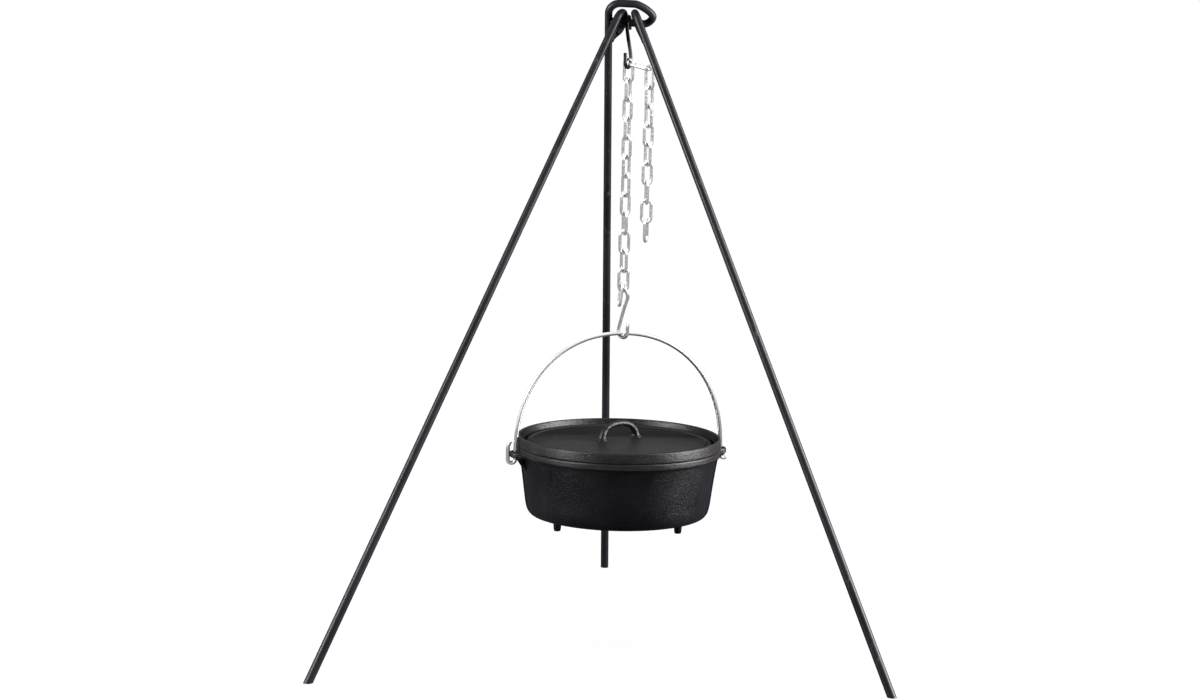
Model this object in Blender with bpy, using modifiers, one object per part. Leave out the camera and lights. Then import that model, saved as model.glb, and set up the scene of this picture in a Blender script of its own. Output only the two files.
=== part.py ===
"""Campfire tripod with a hanging camp oven.

Three steel-rod legs meet on a bar: the rear leg's rod is bent into a long hanging loop, and each
front leg ends in a welded eye round the loop's lower bar. A hook on the bar carries a chain, a
second hook and the wire bail of a three-footed cast-iron oven with a flanged lid.

Metres, +Z up. The origin is on the ground, at the middle of the tripod's footprint. +X is to the
right, +Y to the rear. The pieces are laid out from the ground point under the hook, and then all
moved by the same amount at the end. Angles are in degrees; turns are about Z, from +X.
"""

import math

import bmesh
import bpy
from mathutils import Matrix, Vector

X, Y, Z = Vector((1, 0, 0)), Vector((0, 1, 0)), Vector((0, 0, 1))

# ---------------------------------------------------------------- driving dimensions
CLEARANCE = 0.0003  # between pieces that rest on each other
MIDDLE = (-0.02115, 0.11091)  # of the footprint, from the ground point under the hook

# Legs
BAR_HEIGHT = 0.9706  # axis of the lower bar above the ground
ROD_RADIUS = 0.0059  # leg and loop rod at the top
ROD_SPREAD = 1.14  # the rod is this much thicker at the foot
TAPER_TOP = BAR_HEIGHT - 0.03  # the rod has its top radius from here up
FOOT_LEFT = (-0.4530, -0.3010)
FOOT_RIGHT = (0.4108, -0.3040)
FOOT_REAR = (-0.0159, 0.5251)
FOOT_EXTRA = 0.020  # of rod below the ground, before it is cut off
FOOT_STRAIGHT = 0.010  # of rod above the ground, to its next point
WELD_GAP = 0.0004  # between rods that a weld joins

# Rear leg's loop: places are along X, and up in the leg's leaning plane
LOOP_GAP = 0.0332  # between the axes of the two bars, where the upper one starts to bend down
LOOP_SLOPE = math.radians(2.0)  # the upper bar rises towards the leg
LOOP_LEFT = -0.0318  # axis of the rear leg where the lower bar meets it
LOOP_RIGHT = 0.0070  # where the upper bar starts to bend down
LOOP_END = (0.0356, 0.0115)  # axis of the rod at the closed end
LOOP_FAR = 0.0225  # right end of the lower bar
LOOP_SAG = 0.0014  # the lower bar's drop there
LOOP_SAG_MIDDLE = (0.0080, 0.3)  # a place on the lower bar, and its share of the sag
LOOP_CORNER = 0.0180

# Front legs' eyes
EYE_RADIUS = 0.0160  # of the rod's axis, round the bar
EYE_LEFT_AT = -0.0154
EYE_RIGHT_AT = 0.0138
EYE_LEFT_TWIST = math.radians(15.0)  # of the eye's rear side towards +X
EYE_RIGHT_TWIST = math.radians(1.5)
TAIL_LENGTH = 0.033  # below the bar's axis
TAIL_STRAIGHT = 0.004
EYE_WELD_UP = 0.007  # above the tail's end

# Top hook
HOOK_RADIUS = 0.0030
HOOK_BOTTOM = 0.9024  # axis of the wire at the bottom of its lower bend
HOOK_AT = -0.0013  # where its arch crosses the bar
HOOK_SKEW = 76.0  # the way the arch faces
HOOK_REAR_DROP = 0.011  # of the wire's rear end, below the bar's axis
HOOK_BEND = 0.0084
HOOK_TURN = 60.0  # of the lower bend
HOOK_OFF_CHAIN = -0.0014  # the hook's bend, across the first link from its middle

# Chain
LINK_WIRE = 0.0024
LINK_HALF_WIDTH = 0.0072  # of the wire's axis
LINK_LENGTH = 0.0345  # of the wire's axis, bow to bow
LINK_PITCH = 0.0294
CHAIN_X = 0.0007
CHAIN_TOP = 0.9150  # axis of the top bow of the first link
# The way each link faces: the chain hangs with an uneven twist.
CHAIN_TURNS = (-25, 65, 140, 245, 320, 412, 492, 574, 650, 740, 842, 915)
TAIL_TURNS = (-40, 50, 125, 212, 300, 388, 460, 540, 614)
LOOSE_TURN = 1000  # the last link, beside the lower hook
LOOSE_LEAN = math.radians(6.0)
LOOSE_ASIDE = 0.0022  # its top bow from the middle of the last bow
LOOSE_UP = 0.0039
CLAMPED_DROP = math.radians(12.0)  # the link held between the hook and the first link
CLAMPED_TURN = -25.0
CLAMPED_OFF_CHAIN = 0.0021
CLAMPED_HEIGHT = 0.9080

# Lower hook
LOWER_HOOK_RADIUS = 0.00275
LOWER_HOOK_ARCH = 0.0060
LOWER_HOOK_LEAN = 0.10  # of the arch, as a slope
LOWER_HOOK_ASIDE = 0.0021  # the arch's top from the middle of the last bow
LOWER_HOOK_REAR_DROP = 0.0045  # of the wire's rear end, below the arch's centre
LOWER_HOOK_BEND = 0.0090
LOWER_HOOK_BOTTOM = 0.4836  # axis of the wire at the bottom of its lower bend
LOWER_HOOK_X = 0.0020
LOWER_HOOK_TURN = -40.0
LOWER_HOOK_MIDDLE = Vector((0.0075, -0.0030, 0.5440))  # a point on the shank
LOWER_HOOK_SLANT = Vector((-0.0120, 0.0080, -0.0330))  # the shank's way there

# Bail and ears
OVEN_TURN = 15.0  # the line through the ears
BAIL_RADIUS = 0.0032
BAIL_EYE = 0.0059  # of the wire's axis, round the ear's bar
BAIL_EYE_DROP = 0.0075  # of the eye's centre below the ear
BAIL_LOW = 0.0045  # the wire's last point above the eye, below the ear
# Left end of the wire, outside the ear: inward from the eye's far side, up from the ear
BAIL_TIP = ((0.0, 0.0125), (0.0016, 0.0175), (0.0042, 0.0215))
EAR_HEIGHT = 0.3030
EAR_HOLE = 0.1660  # from the oven's axis to the axis of the wire in the ear
EAR_HALF_THICKNESS = 0.0040
BAIL_TOP = 0.4903

# Oven and lid
RIM_RADIUS = 0.1590
RIM_TOP = 0.3120  # where the lid sits
OVEN_BOTTOM = 0.2030
WALL = 0.0050
FLOOR_TOP = OVEN_BOTTOM + WALL
FOOT_RING = 0.1080
FOOT_BOTTOM = 0.1860
FOOT_BITE = 0.003  # of each foot into the oven's floor
OVEN_FEET = (211.0, 331.0, 91.0)
LID_TOP = 0.3290
LID_BASE = RIM_TOP + CLEARANCE
HANDLE_TURN = 38.0
HANDLE_HALF = 0.0335
HANDLE_TOP = 0.3482
HANDLE_ROOT = LID_TOP - 0.0075
HANDLE_RADIUS = 0.0044
STEPS_ROUND = 48

# ---------------------------------------------------------------- scene
for old in list(bpy.data.objects):
    bpy.data.objects.remove(old, do_unlink=True)

PARTS = bpy.data.collections.new("campfire_tripod")
CUTTERS = bpy.data.collections.new("cutters")  # shapes that booleans join to the parts
bpy.context.scene.collection.children.link(PARTS)
bpy.context.scene.collection.children.link(CUTTERS)


# ---------------------------------------------------------------- materials
def finish(name, colour, metallic, roughness):
    material = bpy.data.materials.new(name)
    material.use_nodes = True
    shader = material.node_tree.nodes["Principled BSDF"]
    shader.inputs["Base Color"].default_value = (*colour, 1.0)
    shader.inputs["Metallic"].default_value = metallic
    shader.inputs["Roughness"].default_value = roughness
    return material


BLACK_PAINT = finish(
    "black_painted_steel", colour=(0.020, 0.020, 0.022), metallic=0.0, roughness=0.38
)
HOOK_BLACK = finish(
    "black_hook_steel", colour=(0.024, 0.024, 0.026), metallic=0.3, roughness=0.42
)
ZINC = finish("zinc_plated_chain", colour=(0.80, 0.81, 0.82), metallic=1.0, roughness=0.22)
ZINC_HOOK = finish("zinc_plated_hook", colour=(0.78, 0.79, 0.80), metallic=1.0, roughness=0.24)
ZINC_WIRE = finish("zinc_plated_wire", colour=(0.82, 0.83, 0.84), metallic=1.0, roughness=0.18)
CAST_IRON = finish(
    "seasoned_cast_iron", colour=(0.030, 0.028, 0.029), metallic=0.2, roughness=0.58
)
LID_IRON = finish("seasoned_lid_iron", colour=(0.032, 0.030, 0.031), metallic=0.2, roughness=0.58)


# ---------------------------------------------------------------- paths
def flat(degrees):
    """The horizontal direction at this angle from +X."""
    angle = math.radians(degrees)
    return Vector((math.cos(angle), math.sin(angle), 0.0))


def axes(first, second, third):
    """The matrix that has these directions as its columns."""
    return Matrix((first, second, third)).transposed()


def arc(centre, along, up, radius, first, last, count):
    """Points of a circle's arc, its angle measured from along towards up, in degrees."""
    points = []
    for i in range(count + 1):
        angle = math.radians(first + (last - first) * i / count)
        points.append(centre + radius * (math.cos(angle) * along + math.sin(angle) * up))
    return points


def sweep(start, leave, end, arrive, count):
    """Points of the cubic curve from start to end with the given end tangents, ends left out."""
    points = []
    for i in range(1, count):
        t = i / count
        points.append(
            (2 * t**3 - 3 * t**2 + 1) * start
            + (t**3 - 2 * t**2 + t) * leave
            + (3 * t**2 - 2 * t**3) * end
            + (t**3 - t**2) * arrive
        )
    return points


def arch(half, rise, side_power, top_power, count):
    """(along, up) pairs of half an ellipse, its shape changed by the two powers."""
    pairs = []
    for i in range(count + 1):
        angle = math.pi * i / count
        along = -half * math.copysign(abs(math.cos(angle)) ** side_power, math.cos(angle))
        pairs.append((along, rise * math.sin(angle) ** top_power))
    return pairs


# ---------------------------------------------------------------- solids
def add_spline(curve, points, closed):
    spline = curve.splines.new("POLY")
    spline.points.add(len(points) - 1)
    for target, point in zip(spline.points, points):
        target.co = (*point, 1.0)
    spline.use_cyclic_u = closed
    return spline


def wire(
    name, points, radius, resolution, collection=PARTS,
    closed=False, widths=None, origin=Vector((0, 0, 0)), material=None,
):
    """A round wire through the points, its object's origin at the given point."""
    curve = bpy.data.curves.new(name, "CURVE")
    curve.dimensions = "3D"
    curve.bevel_depth = radius
    curve.bevel_resolution = resolution
    curve.use_fill_caps = not closed
    spline = add_spline(curve, [point - origin for point in points], closed)
    spline.use_smooth = True
    if widths:
        for target, width in zip(spline.points, widths):
            target.radius = width
    if material:
        curve.materials.append(material)
    obj = bpy.data.objects.new(name, curve)
    obj.location = origin
    collection.objects.link(obj)
    return obj


def as_mesh(obj):
    """The curve object's solid as a mesh object of the same name and place."""
    bpy.context.view_layer.update()
    graph = bpy.context.evaluated_depsgraph_get()
    mesh = bpy.data.meshes.new_from_object(obj.evaluated_get(graph))
    work = bmesh.new()
    work.from_mesh(mesh)
    bmesh.ops.remove_doubles(work, verts=work.verts, dist=0.00001)
    bmesh.ops.recalc_face_normals(work, faces=work.faces)
    work.to_mesh(mesh)
    work.free()
    name, matrix = obj.name, obj.matrix_world.copy()
    collection = obj.users_collection[0]
    bpy.data.objects.remove(obj, do_unlink=True)
    solid = bpy.data.objects.new(name, mesh)
    solid.matrix_world = matrix
    collection.objects.link(solid)
    mesh.shade_smooth()
    mesh.set_sharp_from_angle(angle=math.radians(40))
    return solid


def mesh_from(name, work):
    mesh = bpy.data.meshes.new(name)
    work.to_mesh(mesh)
    work.free()
    return mesh


def join(obj, other):
    """Adds a hidden shape, not a part by itself, to the object."""
    other.hide_render = True
    other.display_type = "WIRE"
    modifier = obj.modifiers.new(f"union_{other.name}", "BOOLEAN")
    modifier.operation = "UNION"
    modifier.object = other
    modifier.solver = "EXACT"


def helper(name, work, location):
    obj = bpy.data.objects.new(name, mesh_from(name, work))
    obj.location = location
    CUTTERS.objects.link(obj)
    return obj


def ball(name, location, radii):
    work = bmesh.new()
    bmesh.ops.create_uvsphere(work, u_segments=12, v_segments=8, radius=1.0)
    bmesh.ops.scale(work, vec=Vector(radii), verts=work.verts)
    return helper(name, work, location)


def peg(name, location, bottom_radius, top_radius, height):
    work = bmesh.new()
    bmesh.ops.create_cone(
        work,
        cap_ends=True,
        segments=12,
        radius1=bottom_radius,
        radius2=top_radius,
        depth=height,
    )
    return helper(name, work, location)


def plate(name, outlines, half_thickness, matrix):
    """A flat plate; an outline inside another one is a hole."""
    curve = bpy.data.curves.new(name, "CURVE")
    curve.dimensions = "2D"
    curve.fill_mode = "BOTH"
    curve.extrude = half_thickness
    for outline in outlines:
        add_spline(curve, [(*point, 0.0) for point in outline], closed=True)
    obj = bpy.data.objects.new(name, curve)
    CUTTERS.objects.link(obj)
    obj.matrix_world = matrix
    return as_mesh(obj)


def turned(name, profile, origin_height, material):
    """A turned solid: (radius, height) points from the axis round to the axis, turned about Z."""
    work = bmesh.new()
    verts = [work.verts.new((radius, 0.0, z - origin_height)) for radius, z in profile]
    for pair in zip(verts, verts[1:]):
        work.edges.new(pair)
    mesh = mesh_from(name, work)
    mesh.materials.append(material)
    obj = bpy.data.objects.new(name, mesh)
    obj.location = (0.0, 0.0, origin_height)
    PARTS.objects.link(obj)
    screw = obj.modifiers.new("turn", "SCREW")
    screw.axis = "Z"
    screw.steps = STEPS_ROUND
    screw.render_steps = STEPS_ROUND
    screw.use_merge_vertices = True
    screw.merge_threshold = 0.00001
    screw.use_smooth_shade = True
    return obj


# ---------------------------------------------------------------- tripod
BAR = Vector((0.0, 0.0, BAR_HEIGHT))


def cut_at_ground(obj):
    """Takes off what is below z = 0 and closes the cut, so that the rod's end lies flat."""
    work = bmesh.new()
    work.from_mesh(obj.data)
    work.transform(obj.matrix_world)
    cut = bmesh.ops.bisect_plane(
        work,
        geom=list(work.verts) + list(work.edges) + list(work.faces),
        dist=1e-7,
        plane_co=(0, 0, 0),
        plane_no=(0, 0, 1),
        clear_inner=True,
    )
    edges = [e for e in cut["geom_cut"] if isinstance(e, bmesh.types.BMEdge)]
    bmesh.ops.contextual_create(work, geom=edges)
    work.transform(obj.matrix_world.inverted())
    bmesh.ops.recalc_face_normals(work, faces=work.faces)
    work.to_mesh(obj.data)
    work.free()


def leg_rod(name, points, origin):
    """A rod cut off at the ground, thickest at the foot and thinning evenly towards the bar."""
    widths = []
    for point in points:
        share = min(1.0, max(0.0, 1 - point.z / TAPER_TOP))
        widths.append(1 + (ROD_SPREAD - 1) * share)
    rod = as_mesh(wire(name, points, ROD_RADIUS, 4, widths=widths, origin=origin))
    cut_at_ground(rod)
    rod.data.materials.append(BLACK_PAINT)
    return rod


def rear_leg():
    """One rod: foot, corner, upper bar, closed end, lower bar back to the leg, and its weld."""
    lean = math.atan2(FOOT_REAR[1], BAR_HEIGHT)
    up = Vector((0.0, -math.sin(lean), math.cos(lean)))

    def at(along, height):
        return BAR + along * X + height * up

    length = BAR_HEIGHT / math.cos(lean)
    slope = (LOOP_LEFT - FOOT_REAR[0]) / length
    rise = (slope * X + up).normalized()
    foot = at(FOOT_REAR[0], -length)

    # The corner between the leg and the upper bar, which runs down to the closed end.
    bar_end = at(LOOP_RIGHT, LOOP_GAP)
    bar_way = (math.cos(LOOP_SLOPE) * X - math.sin(LOOP_SLOPE) * up).normalized()
    corner_height = LOOP_GAP + (LOOP_RIGHT - LOOP_LEFT) * math.tan(LOOP_SLOPE)
    corner = at(LOOP_LEFT + slope * corner_height, corner_height)
    turn = rise.angle(bar_way)
    setback = LOOP_CORNER * math.tan(turn / 2)
    start = corner - rise * setback
    end = corner + bar_way * setback
    pull = 4 * math.tan(turn / 4) * LOOP_CORNER  # makes the sweep nearly a circle's arc
    points = [foot - rise * FOOT_EXTRA, foot + rise * FOOT_STRAIGHT, start]
    points += sweep(start, rise * pull, end, bar_way * pull, 6)
    points += [end, bar_end]

    # The closed end and the lower bar.
    tip = at(*LOOP_END)
    far = at(LOOP_FAR, -LOOP_SAG)
    stop = LOOP_LEFT + ROD_RADIUS + WELD_GAP
    sag_at, sag_share = LOOP_SAG_MIDDLE
    points += sweep(bar_end, bar_way * 0.023, tip, -up * 0.022, 8)
    points.append(tip)
    points += sweep(tip, -up * 0.017, far, -X * 0.017, 6)
    points += [far, at(sag_at, -LOOP_SAG * sag_share), BAR, at(stop, 0.0)]
    rod = leg_rod("rear_leg_with_loop", points, Vector((0, 0, 0)))
    join(rod, ball("rear_weld", at(stop - 0.0006, 0.0), radii=(0.0052, 0.0072, 0.0072)))


def front_leg(name, foot, eye_at, twist):
    """A rod that rises in front of the bar, turns over it and ends behind in a welded tail."""
    centre = BAR + eye_at * X
    ground = Vector((*foot, 0.0))
    rise = (centre - ground).normalized()
    # The rod meets the eye at a tangent, and the eye leans with the rod: repeats settle both.
    for _ in range(12):
        normal = (X - X.dot(rise) * rise).normalized()
        back = rise.cross(normal).normalized()
        back = math.cos(twist) * back + math.sin(twist) * normal
        tangent = centre - EYE_RADIUS * back
        rise = (tangent - ground).normalized()
    points = [ground - rise * FOOT_EXTRA, ground + rise * FOOT_STRAIGHT, tangent - rise * 0.02]
    points += arc(centre, back, rise, EYE_RADIUS, 180, -18, 16)
    leave = (points[-1] - points[-2]).normalized()
    end = centre + back * (-EYE_RADIUS + 2 * ROD_RADIUS + WELD_GAP) - rise * TAIL_LENGTH
    tail = end + rise * TAIL_STRAIGHT
    points += sweep(points[-1], leave * 0.026, tail, -rise * 0.022, 6)
    points += [tail, end]
    rod = leg_rod(name, points, centre)
    # The weld lies in the groove between the tail and the leg.
    groove = centre + back * (-EYE_RADIUS + ROD_RADIUS + WELD_GAP / 2)
    weld = ball(
        name + "_weld",
        groove - rise * (TAIL_LENGTH - EYE_WELD_UP),
        radii=(0.0046, 0.0050, 0.0115),
    )
    weld.rotation_euler = axes(back, back.cross(rise).normalized(), rise).to_euler()
    join(rod, weld)


# ---------------------------------------------------------------- top hook
def top_hook():
    """An S of black wire: over the bar to the front, down to the rear and up in a lower bend."""
    across = flat(HOOK_SKEW)  # to the rear
    # The skewed arch is wider than the bar is thick.
    radius = (ROD_RADIUS + HOOK_RADIUS + CLEARANCE) / math.sin(math.radians(HOOK_SKEW))
    centre = BAR + HOOK_AT * X
    facing = flat(HOOK_TURN)
    low = Vector((CHAIN_X, 0.0, HOOK_BOTTOM + HOOK_BEND)) + HOOK_OFF_CHAIN * flat(CHAIN_TURNS[0])
    points = [centre + radius * across - HOOK_REAR_DROP * Z]
    points += arc(centre, across, Z, radius, -12, 180, 12)
    shank = low + HOOK_BEND * facing
    points += sweep(points[-1], -Z * 0.060, shank + 0.004 * Z, -Z * 0.045, 10)
    points += arc(low, facing, Z, HOOK_BEND, 8, -180, 12)
    end = low - HOOK_BEND * facing
    points += [end + 0.0075 * Z, end + 0.0140 * Z - 0.0006 * facing]
    wire("top_hook", points, HOOK_RADIUS, 2, origin=BAR, material=HOOK_BLACK)


# ---------------------------------------------------------------- chain
CHAIN = Vector((CHAIN_X, 0.0, CHAIN_TOP))
# The last link's lower bow, and the side of it that the lower hook's arch is on (+X).
BOW_LOW = CHAIN - ((len(CHAIN_TURNS) - 1) * LINK_PITCH + LINK_LENGTH) * Z
BOW_MIDDLE = BOW_LOW + LINK_HALF_WIDTH * Z
BOW_FACING = -flat(CHAIN_TURNS[-1])


def link(name, top, way, across):
    """A long link. top is the axis of its upper bow, way runs down the link, across is its width.
    Its origin is at the middle of the upper bow."""
    first = top + LINK_HALF_WIDTH * way
    second = top + (LINK_LENGTH - LINK_HALF_WIDTH) * way
    points = arc(first, across, -way, LINK_HALF_WIDTH, 0, 180, 6)
    points += arc(second, -across, way, LINK_HALF_WIDTH, 0, 180, 6)
    wire(name, points, LINK_WIRE, 1, closed=True, origin=top, material=ZINC)


def hanging_links(prefix, first_number, top, turns):
    for i, turn in enumerate(turns):
        link(f"{prefix}_{i + first_number:02d}", top - i * LINK_PITCH * Z, -Z, flat(turn))


def loose_link():
    """The last link, leaning beside the lower hook."""
    way = (-math.cos(LOOSE_LEAN) * Z - math.sin(LOOSE_LEAN) * BOW_FACING).normalized()
    across = flat(LOOSE_TURN)
    across = (across - across.dot(way) * way).normalized()
    link("chain_link_13", BOW_MIDDLE - LOOSE_ASIDE * BOW_FACING + LOOSE_UP * Z, way, across)


def chain_tail():
    """A link held sideways between the hook and the first link, and the chain that it carries."""
    out = flat(CLAMPED_TURN)
    way = math.cos(CLAMPED_DROP) * out - math.sin(CLAMPED_DROP) * Z
    top = Vector((CHAIN_X, 0.0, CLAMPED_HEIGHT)) + CLAMPED_OFF_CHAIN * out
    link("tail_link_01", top, way, flat(CLAMPED_TURN + 90))
    tail_top = top + LINK_LENGTH * way + 2 * (LINK_WIRE + CLEARANCE) * Z
    hanging_links("tail_link", 2, tail_top, TAIL_TURNS)


# ---------------------------------------------------------------- lower hook
def bottom_hook():
    """An S of wire: over the last bow to the front, down a slanting shank and up in a bend."""
    across = flat(CHAIN_TURNS[-1] + 90)  # to the front
    up = (Z - LOWER_HOOK_LEAN * BOW_FACING).normalized()
    centre = BOW_MIDDLE + LOWER_HOOK_ASIDE * BOW_FACING - LOWER_HOOK_ARCH * up
    facing = flat(LOWER_HOOK_TURN)
    low = Vector((LOWER_HOOK_X, 0.0, LOWER_HOOK_BOTTOM + LOWER_HOOK_BEND))
    middle, slant = LOWER_HOOK_MIDDLE, LOWER_HOOK_SLANT
    points = [centre - LOWER_HOOK_ARCH * across - LOWER_HOOK_REAR_DROP * up]
    points += arc(centre, -across, up, LOWER_HOOK_ARCH, 0, 180, 8)
    points += sweep(points[-1], -0.012 * Z + 0.003 * X, middle, slant * 0.55, 5)
    points.append(middle)
    points += sweep(middle, slant, low - LOWER_HOOK_BEND * facing, -0.020 * Z, 6)
    points += arc(low, -facing, Z, LOWER_HOOK_BEND, 0, -180, 12)
    end = low + LOWER_HOOK_BEND * facing
    points += [end + 0.0065 * Z, end + 0.0006 * facing + 0.0130 * Z]
    wire("bottom_hook", points, LOWER_HOOK_RADIUS, 2, origin=BOW_LOW, material=ZINC_HOOK)


# ---------------------------------------------------------------- bail
EARS = flat(OVEN_TURN)
PIVOT = Vector((0.0, 0.0, EAR_HEIGHT))


def bail():
    """A wire arch; each end runs down through the ear and turns outward under its bar. The left
    end comes up outside the ear, the right one stops below it."""

    def at(along, up):
        return PIVOT + along * EARS + up * Z

    def end(sign, degrees, count):
        centre = at(sign * (EAR_HOLE + BAIL_EYE), -BAIL_EYE_DROP)
        eye = arc(centre, -sign * EARS, -Z, BAIL_EYE, 0, degrees, count)
        return [at(sign * EAR_HOLE, -BAIL_LOW)] + eye

    left = end(-1, 180, 8)
    left += [at(inward - EAR_HOLE - 2 * BAIL_EYE, up) for inward, up in BAIL_TIP]
    # Rounded: straight sides low down, a flatter crown.
    crown = arch(EAR_HOLE, BAIL_TOP - EAR_HEIGHT, side_power=0.94, top_power=0.90, count=40)
    points = left[::-1] + [at(along, up) for along, up in crown] + end(1, 125, 6)
    origin = Vector((LOWER_HOOK_X, 0.0, BAIL_TOP))
    wire("bail", points, BAIL_RADIUS, 2, origin=origin, material=ZINC_WIRE)


# ---------------------------------------------------------------- oven
# (radius, height): inside from the floor's middle up, over the rim, down the outside
OVEN_PROFILE = (
    (0.0, FLOOR_TOP + 0.0005),
    (0.122, FLOOR_TOP + 0.0005),
    (0.1335, FLOOR_TOP + 0.0045),
    (0.1392, FLOOR_TOP + 0.0130),
    (0.1503, RIM_TOP - 0.0080),
    (0.1508, RIM_TOP),
    (RIM_RADIUS - 0.0008, RIM_TOP),
    (RIM_RADIUS + 0.0005, RIM_TOP - 0.0015),
    (RIM_RADIUS + 0.0003, RIM_TOP - 0.0085),
    (RIM_RADIUS - 0.0032, RIM_TOP - 0.0112),
    (0.1552, RIM_TOP - 0.0150),
    (0.1506, OVEN_BOTTOM + 0.0640),
    (0.1446, OVEN_BOTTOM + 0.0190),
    (0.1424, OVEN_BOTTOM + 0.0092),
    (0.1370, OVEN_BOTTOM + 0.0030),
    (0.1280, OVEN_BOTTOM),
    (0.0, OVEN_BOTTOM),
)

# (radius, height): over the top from the middle to the rim, back underneath
LID_PROFILE = (
    (0.0, LID_TOP - 0.0050),
    (0.060, LID_TOP - 0.0056),
    (0.1060, LID_TOP - 0.0072),
    (0.1360, LID_TOP - 0.0088),
    (0.1385, LID_TOP - 0.0072),
    (0.1440, LID_TOP - 0.0074),
    (0.1465, LID_TOP - 0.0098),
    (0.1515, LID_TOP - 0.0098),
    (0.1540, LID_TOP - 0.0006),
    (0.1555, LID_TOP),
    (RIM_RADIUS - 0.0010, LID_TOP),
    (RIM_RADIUS, LID_TOP - 0.0012),
    (RIM_RADIUS + 0.0004, LID_BASE + 0.0016),
    (RIM_RADIUS - 0.0006, LID_BASE),
    (0.1500, LID_BASE),
    (0.1490, LID_BASE - 0.0040),
    (0.1440, LID_BASE - 0.0040),
    (0.1420, LID_BASE + 0.0008),
    (0.0, LID_BASE + 0.0042),
)

# Ear from above: (out from the oven's axis, along the rim)
EAR_OUTLINE = (
    (0.1530, -0.0190), (0.1640, -0.0175), (0.1700, -0.0145), (0.1734, -0.0090),
    (0.1742, 0.0),
    (0.1734, 0.0090), (0.1700, 0.0145), (0.1640, 0.0175), (0.1530, 0.0190),
)
SLOT_CENTRE = EAR_HOLE - 0.0002
SLOT_REACH = 0.0066  # from its middle to the centre of each round end
SLOT_HALF_WIDTH = 0.0037

# Rib under the ear's root, from the side: (out from the oven's axis, up from the ear's middle)
RIB_OUTLINE = ((0.1500, -0.0010), (0.1690, -0.0010), (0.1690, -0.0048), (0.1500, -0.0250))
RIB_ASIDE = 0.0142
RIB_HALF_THICKNESS = 0.0022


def slot_outline():
    """The ear's slot, with round ends, as points like the ear's outline."""
    points = []
    for end in (1, -1):
        for k in range(7):
            angle = -end * math.pi / 2 + math.pi * k / 6
            out = SLOT_CENTRE + SLOT_HALF_WIDTH * math.sin(angle)
            points.append((out, end * SLOT_REACH + SLOT_HALF_WIDTH * math.cos(angle)))
    return points


def add_ear(oven, label, out):
    """A lug with a slot between its bar and the rim, and a rib on each side of the slot."""
    along = Z.cross(out).normalized()
    level = Matrix.Translation(PIVOT) @ axes(out, along, Z).to_4x4()
    outlines = (EAR_OUTLINE, slot_outline())
    join(oven, plate(f"ear_{label}", outlines, EAR_HALF_THICKNESS, level))
    upright = axes(out, Z, out.cross(Z)).to_4x4()
    for side, letter in ((-1, "a"), (1, "b")):
        place = Matrix.Translation(PIVOT + along * side * RIB_ASIDE) @ upright
        name = f"ear_rib_{label}_{letter}"
        join(oven, plate(name, (RIB_OUTLINE,), RIB_HALF_THICKNESS, place))


def oven_body():
    oven = turned("oven_body", OVEN_PROFILE, EAR_HEIGHT, CAST_IRON)
    height = OVEN_BOTTOM + FOOT_BITE - FOOT_BOTTOM
    for i, angle in enumerate(OVEN_FEET):
        place = flat(angle) * FOOT_RING + (FOOT_BOTTOM + height / 2) * Z
        name = f"oven_foot_{i + 1}"
        join(oven, peg(name, place, bottom_radius=0.0053, top_radius=0.0078, height=height))
    add_ear(oven, "left", -EARS)
    add_ear(oven, "right", EARS)


def oven_lid():
    """The flanged lid and its arched handle, thicker at the roots."""
    lid = turned("oven_lid", LID_PROFILE, LID_BASE, LID_IRON)
    count = 18
    rise = HANDLE_TOP - HANDLE_ROOT
    outline = arch(HANDLE_HALF, rise, side_power=0.80, top_power=0.85, count=count)
    points = [along * flat(HANDLE_TURN) + (HANDLE_ROOT + up) * Z for along, up in outline]
    widths = [1.0 + 0.45 * abs(math.cos(math.pi * i / count)) ** 6 for i in range(count + 1)]
    grip = wire("lid_handle", points, HANDLE_RADIUS, 3, collection=CUTTERS, widths=widths)
    join(lid, as_mesh(grip))


# ---------------------------------------------------------------- build
rear_leg()
front_leg("left_leg", FOOT_LEFT, EYE_LEFT_AT, EYE_LEFT_TWIST)
front_leg("right_leg", FOOT_RIGHT, EYE_RIGHT_AT, EYE_RIGHT_TWIST)
top_hook()
hanging_links("chain_link", 1, CHAIN, CHAIN_TURNS)
loose_link()
chain_tail()
bottom_hook()
bail()
oven_body()
oven_lid()

# The origin goes to the middle of the footprint.
for obj in bpy.data.objects:
    obj.location.x -= MIDDLE[0]
    obj.location.y -= MIDDLE[1]
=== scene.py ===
"""A cast-iron camp oven hung by a chain from a black steel rod tripod.

Metres, +Z up. The pieces are drawn with the origin on the ground under the tripod's bar, on the
oven's axis: +X is right, -Y is the front, where the camera stands, and the rear leg runs to +Y.
Every object is then moved by -MIDDLE.
"""

import math

import bmesh
import bpy
from mathutils import Matrix, Vector, noise


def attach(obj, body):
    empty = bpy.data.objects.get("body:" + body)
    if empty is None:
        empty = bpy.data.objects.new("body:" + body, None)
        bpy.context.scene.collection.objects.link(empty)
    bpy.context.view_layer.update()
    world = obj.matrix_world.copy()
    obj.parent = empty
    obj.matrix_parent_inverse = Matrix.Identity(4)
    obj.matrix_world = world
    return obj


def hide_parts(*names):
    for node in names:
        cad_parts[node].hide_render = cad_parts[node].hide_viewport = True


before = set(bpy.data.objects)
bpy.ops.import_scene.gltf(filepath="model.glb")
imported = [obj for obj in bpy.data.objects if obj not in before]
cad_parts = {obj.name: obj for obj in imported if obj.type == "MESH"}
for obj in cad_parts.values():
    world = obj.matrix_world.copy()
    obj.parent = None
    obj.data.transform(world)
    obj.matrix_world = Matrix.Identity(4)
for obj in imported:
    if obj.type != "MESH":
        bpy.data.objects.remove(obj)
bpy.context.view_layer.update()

X, Z = Vector((1, 0, 0)), Vector((0, 0, 1))
MIDDLE = Vector((-0.02115, 0.11091, 0.0))
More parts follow.
